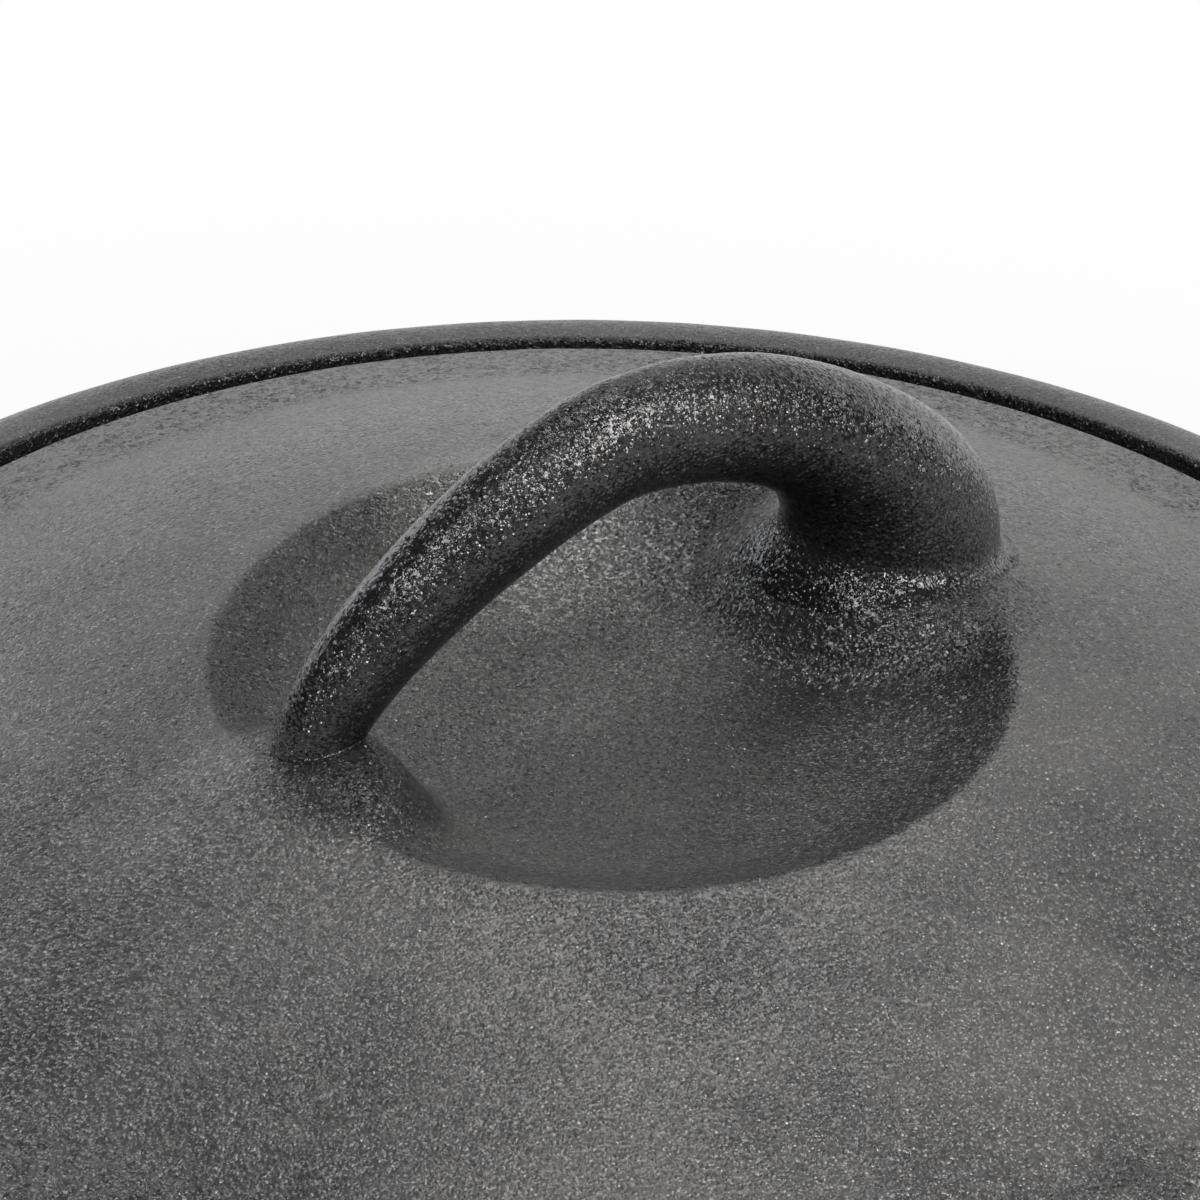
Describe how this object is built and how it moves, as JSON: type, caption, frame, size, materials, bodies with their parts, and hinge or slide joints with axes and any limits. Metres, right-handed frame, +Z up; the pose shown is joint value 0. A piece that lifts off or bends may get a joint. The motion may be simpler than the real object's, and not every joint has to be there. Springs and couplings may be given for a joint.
{
  "type": "saucepan",
  "caption": "Round cast iron saucepan with a long handle and a domed lift-off lid that nests inside the rim and carries a loop handle over a dished centre.",
  "frame": {"origin": "centre of the pan's round base, on the surface that it stands on", "axes": "+Z up along the pan's axis, +X along the long handle and in line with the lid's loop handle"},
  "size_m": [0.3717, 0.221, 0.1414],
  "materials": {
    "pan_iron": "seasoned black, fine sand-cast grain",
    "lid_iron": "seasoned black, fine sand-cast grain"
  },
  "bodies": {
    "pan": {"pan": "pan_iron"},
    "lid": {"lid": "lid_iron"}
  },
  "joints": [
    {"name": "lid_lift", "type": "slide", "parent": "pan", "child": "lid", "axis": [0, 0, 1], "range_m": [0, 0.12]}
  ]
}
